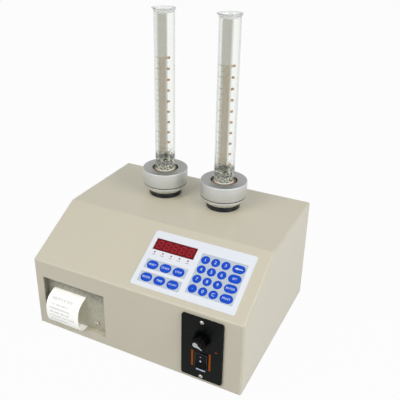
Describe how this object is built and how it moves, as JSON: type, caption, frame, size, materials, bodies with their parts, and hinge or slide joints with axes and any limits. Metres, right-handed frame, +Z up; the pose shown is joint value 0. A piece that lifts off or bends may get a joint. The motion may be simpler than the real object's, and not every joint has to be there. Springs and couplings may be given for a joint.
{
  "type": "tap density tester",
  "caption": "Bench tester with a sloped sheet-steel housing, keypad, printer and speed knob; a cam drive lifts and drops two clamped glass measuring cylinders.",
  "frame": {"origin": "on the bench, below the middle of the whole object's box", "axes": "+X to the right seen from the front, +Y to the back, +Z up"},
  "size_m": [0.335, 0.2864, 0.459],
  "materials": {
    "beige_paint": "satin textured powder coat on sheet steel",
    "zinc_steel": "zinc-plated sheet steel",
    "nickel_steel": "ground and nickel-plated steel",
    "satin_aluminium": "turned aluminium, satin",
    "gear_brass": "hobbed brass",
    "hammertone_paint": "grey-green hammertone stoving paint",
    "panel_paint": "black satin paint on a speed control plate",
    "motor_paint": "dark grey motor enamel",
    "black_plastic": "moulded black plastic",
    "black_rubber": "moulded rubber",
    "amber_rubber": "natural amber rubber",
    "overlay_film": "printed polyester film, fine matt",
    "key_film": "embossed blue polyester key",
    "display_red": "red filter over seven-segment digits",
    "thermal_paper": "smooth white paper",
    "board_laminate": "glass-fibre circuit board with its parts",
    "clear_glass": "clear borosilicate glass with amber graduations"
  },
  "bodies": {
    "root": {"housing": "beige_paint", "base_plate": "zinc_steel", "rear_panel": "beige_paint", "rubber_feet": "black_rubber", "screws": "nickel_steel", "keypad_overlay": "overlay_film", "display_module": "display_red", "printer_plate": "hammertone_paint", "printer_mechanism": "black_plastic", "paper_strip": "thermal_paper", "speed_panel": "panel_paint", "speed_controller": "black_plastic", "guide_bushes": "black_plastic", "tapping_plate": "satin_aluminium", "side_frames": "zinc_steel", "gear_motor": "motor_paint", "tap_sensor": "black_plastic", "power_inlet": "black_plastic", "power_supply": "board_laminate"},
    "camshaft": {"camshaft": "nickel_steel", "drive_gear": "gear_brass"},
    "pinion": {"motor_pinion": "nickel_steel"},
    "roll": {"paper_roll": "thermal_paper"},
    "knob": {"speed_knob": "black_plastic"},
    "run_rocker": {"run_rocker": "black_plastic"},
    "power_rocker": {"power_rocker": "black_plastic"},
    "left_holder": {"left_cup": "satin_aluminium", "left_plunger": "nickel_steel", "left_grip_ring": "amber_rubber"},
    "left_washer": {"left_pressure_washer": "nickel_steel"},
    "left_ring": {"left_clamp_ring": "satin_aluminium"},
    "left_glass": {"left_cylinder": "clear_glass"},
    "right_holder": {"right_cup": "satin_aluminium", "right_plunger": "nickel_steel", "right_grip_ring": "amber_rubber"},
    "right_washer": {"right_pressure_washer": "nickel_steel"},
    "right_ring": {"right_clamp_ring": "satin_aluminium"},
    "right_glass": {"right_cylinder": "clear_glass"},
    "key_point": {"key_point": "key_film"},
    "key_0": {"key_0": "key_film"},
    "key_clear": {"key_clear": "key_film"},
    "key_7": {"key_7": "key_film"},
    "key_8": {"key_8": "key_film"},
    "key_9": {"key_9": "key_film"},
    "key_4": {"key_4": "key_film"},
    "key_5": {"key_5": "key_film"},
    "key_6": {"key_6": "key_film"},
    "key_1": {"key_1": "key_film"},
    "key_2": {"key_2": "key_film"},
    "key_3": {"key_3": "key_film"},
    "key_print": {"key_print": "key_film"},
    "key_enter": {"key_enter": "key_film"},
    "key_set": {"key_set": "key_film"},
    "key_shift": {"key_shift": "key_film"},
    "key_mode": {"key_mode": "key_film"},
    "key_time": {"key_time": "key_film"},
    "key_count": {"key_count": "key_film"},
    "key_reset": {"key_reset": "key_film"},
    "key_start": {"key_start": "key_film"},
    "key_stop": {"key_stop": "key_film"}
  },
  "joints": [
    {"name": "camshaft_turn", "type": "hinge", "parent": "root", "child": "camshaft", "pos_m": [0, 0.06871, 0.096], "axis": [1, 0, 0], "range_deg": [0, 320]},
    {"name": "pinion_turn", "type": "hinge", "parent": "root", "child": "pinion", "pos_m": [0, 0.02628, 0.05357], "axis": [1, 0, 0], "range_deg": [-750, 0]},
    {"name": "left_tap", "type": "slide", "parent": "root", "child": "left_holder", "axis": [0, 0, 1], "range_m": [0, 0.003]},
    {"name": "left_clamp_rise", "type": "slide", "parent": "left_holder", "child": "left_washer", "axis": [0, 0, 1], "range_m": [0, 0.0041]},
    {"name": "left_clamp_turn", "type": "hinge", "parent": "left_washer", "child": "left_ring", "pos_m": [-0.0507, 0.06871, 0.203], "axis": [0, 0, 1], "range_deg": [0, 720]},
    {"name": "left_glass_lift", "type": "slide", "parent": "left_holder", "child": "left_glass", "axis": [0, 0, 1], "range_m": [0, 0.04]},
    {"name": "right_tap", "type": "slide", "parent": "root", "child": "right_holder", "axis": [0, 0, 1], "range_m": [0, 0.003]},
    {"name": "right_clamp_rise", "type": "slide", "parent": "right_holder", "child": "right_washer", "axis": [0, 0, 1], "range_m": [0, 0.0041]},
    {"name": "right_clamp_turn", "type": "hinge", "parent": "right_washer", "child": "right_ring", "pos_m": [0.0507, 0.06871, 0.203], "axis": [0, 0, 1], "range_deg": [0, 720]},
    {"name": "right_glass_lift", "type": "slide", "parent": "right_holder", "child": "right_glass", "axis": [0, 0, 1], "range_m": [0, 0.04]},
    {"name": "roll_turn", "type": "hinge", "parent": "root", "child": "roll", "pos_m": [-0.11155, -0.03979, 0.049], "axis": [1, 0, 0], "continuous": true},
    {"name": "knob_turn", "type": "hinge", "parent": "root", "child": "knob", "pos_m": [0.1104, -0.12779, 0.08], "axis": [0, -1, 0], "range_deg": [-28, 272]},
    {"name": "run_rocker_tilt", "type": "hinge", "parent": "root", "child": "run_rocker", "pos_m": [0.1104, -0.12729, 0.0435], "axis": [1, 0, 0], "range_deg": [0, 16]},
    {"name": "power_rocker_tilt", "type": "hinge", "parent": "root", "child": "power_rocker", "pos_m": [0.112, 0.13921, 0.071], "axis": [-1, 0, 0], "range_deg": [0, 16]},
    {"name": "key_point_press", "type": "slide", "parent": "root", "child": "key_point", "axis": [0, 0.4751, -0.8799], "range_m": [0, 0.0004], "stiffness_N_per_m": 400},
    {"name": "key_0_press", "type": "slide", "parent": "root", "child": "key_0", "axis": [0, 0.4751, -0.8799], "range_m": [0, 0.0004], "stiffness_N_per_m": 400},
    {"name": "key_clear_press", "type": "slide", "parent": "root", "child": "key_clear", "axis": [0, 0.4751, -0.8799], "range_m": [0, 0.0004], "stiffness_N_per_m": 400},
    {"name": "key_7_press", "type": "slide", "parent": "root", "child": "key_7", "axis": [0, 0.4751, -0.8799], "range_m": [0, 0.0004], "stiffness_N_per_m": 400},
    {"name": "key_8_press", "type": "slide", "parent": "root", "child": "key_8", "axis": [0, 0.4751, -0.8799], "range_m": [0, 0.0004], "stiffness_N_per_m": 400},
    {"name": "key_9_press", "type": "slide", "parent": "root", "child": "key_9", "axis": [0, 0.4751, -0.8799], "range_m": [0, 0.0004], "stiffness_N_per_m": 400},
    {"name": "key_4_press", "type": "slide", "parent": "root", "child": "key_4", "axis": [0, 0.4751, -0.8799], "range_m": [0, 0.0004], "stiffness_N_per_m": 400},
    {"name": "key_5_press", "type": "slide", "parent": "root", "child": "key_5", "axis": [0, 0.4751, -0.8799], "range_m": [0, 0.0004], "stiffness_N_per_m": 400},
    {"name": "key_6_press", "type": "slide", "parent": "root", "child": "key_6", "axis": [0, 0.4751, -0.8799], "range_m": [0, 0.0004], "stiffness_N_per_m": 400},
    {"name": "key_1_press", "type": "slide", "parent": "root", "child": "key_1", "axis": [0, 0.4751, -0.8799], "range_m": [0, 0.0004], "stiffness_N_per_m": 400},
    {"name": "key_2_press", "type": "slide", "parent": "root", "child": "key_2", "axis": [0, 0.4751, -0.8799], "range_m": [0, 0.0004], "stiffness_N_per_m": 400},
    {"name": "key_3_press", "type": "slide", "parent": "root", "child": "key_3", "axis": [0, 0.4751, -0.8799], "range_m": [0, 0.0004], "stiffness_N_per_m": 400},
    {"name": "key_print_press", "type": "slide", "parent": "root", "child": "key_print", "axis": [0, 0.4751, -0.8799], "range_m": [0, 0.0004], "stiffness_N_per_m": 400},
    {"name": "key_enter_press", "type": "slide", "parent": "root", "child": "key_enter", "axis": [0, 0.4751, -0.8799], "range_m": [0, 0.0004], "stiffness_N_per_m": 400},
    {"name": "key_set_press", "type": "slide", "parent": "root", "child": "key_set", "axis": [0, 0.4751, -0.8799], "range_m": [0, 0.0004], "stiffness_N_per_m": 400},
    {"name": "key_shift_press", "type": "slide", "parent": "root", "child": "key_shift", "axis": [0, 0.4751, -0.8799], "range_m": [0, 0.0004], "stiffness_N_per_m": 400},
    {"name": "key_mode_press", "type": "slide", "parent": "root", "child": "key_mode", "axis": [0, 0.4751, -0.8799], "range_m": [0, 0.0004], "stiffness_N_per_m": 400},
    {"name": "key_time_press", "type": "slide", "parent": "root", "child": "key_time", "axis": [0, 0.4751, -0.8799], "range_m": [0, 0.0004], "stiffness_N_per_m": 400},
    {"name": "key_count_press", "type": "slide", "parent": "root", "child": "key_count", "axis": [0, 0.4751, -0.8799], "range_m": [0, 0.0004], "stiffness_N_per_m": 400},
    {"name": "key_reset_press", "type": "slide", "parent": "root", "child": "key_reset", "axis": [0, 0.4751, -0.8799], "range_m": [0, 0.0004], "stiffness_N_per_m": 400},
    {"name": "key_start_press", "type": "slide", "parent": "root", "child": "key_start", "axis": [0, 0.4751, -0.8799], "range_m": [0, 0.0004], "stiffness_N_per_m": 400},
    {"name": "key_stop_press", "type": "slide", "parent": "root", "child": "key_stop", "axis": [0, 0.4751, -0.8799], "range_m": [0, 0.0004], "stiffness_N_per_m": 400}
  ],
  "couplings": [
    {"joint": "pinion_turn", "follows": "camshaft_turn", "ratio": -2.3333},
    {"joint": "left_tap", "follows": "camshaft_turn", "m_per_rad": 0.000537},
    {"joint": "left_clamp_rise", "follows": "left_clamp_turn", "m_per_rad": 0.00031831},
    {"joint": "right_tap", "follows": "camshaft_turn", "m_per_rad": 0.000537},
    {"joint": "right_clamp_rise", "follows": "right_clamp_turn", "m_per_rad": 0.00031831}
  ]
}
